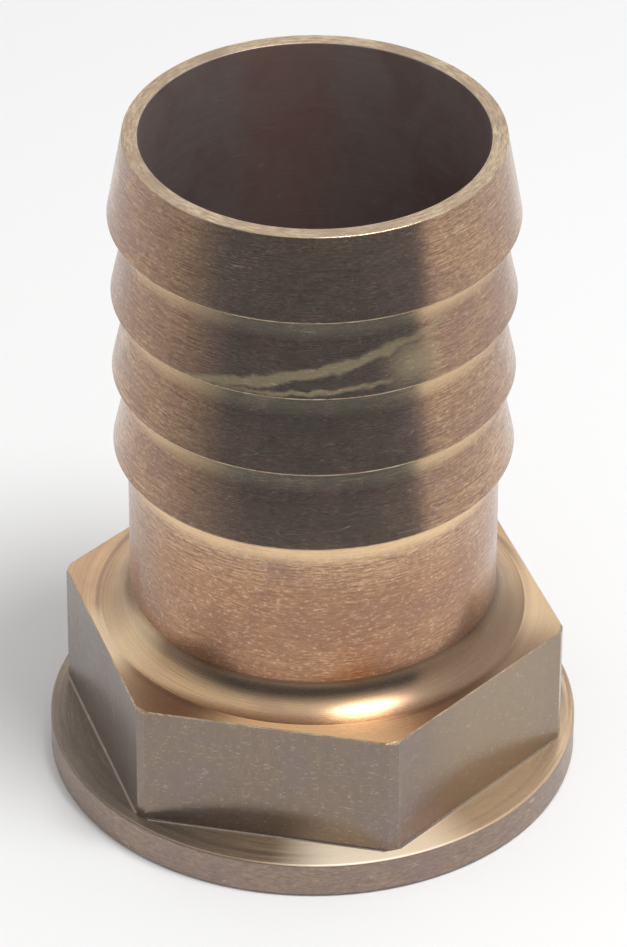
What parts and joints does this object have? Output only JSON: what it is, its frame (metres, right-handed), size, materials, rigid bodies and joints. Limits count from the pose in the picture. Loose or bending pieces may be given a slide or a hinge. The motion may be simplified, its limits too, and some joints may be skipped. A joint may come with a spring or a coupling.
{
  "type": "hose barb tail",
  "caption": "Straight metal hose tail with saw-tooth barbs, a plain neck, a spanner hexagon and a round flange, open right through, with a female pipe thread at the flange end.",
  "frame": {"origin": "centre of the flange's flat underside, where the part stands", "axes": "+Z along the axis from the threaded end to the hose end; +X square to one flat of the hexagon"},
  "size_m": [0.055, 0.055, 0.0741],
  "materials": {
    "turned_bronze": "bare cast bronze, turned all over and milled on the flats, lightly tarnished"
  },
  "bodies": {
    "root": {"hose_tail": "turned_bronze"}
  },
  "joints": []
}
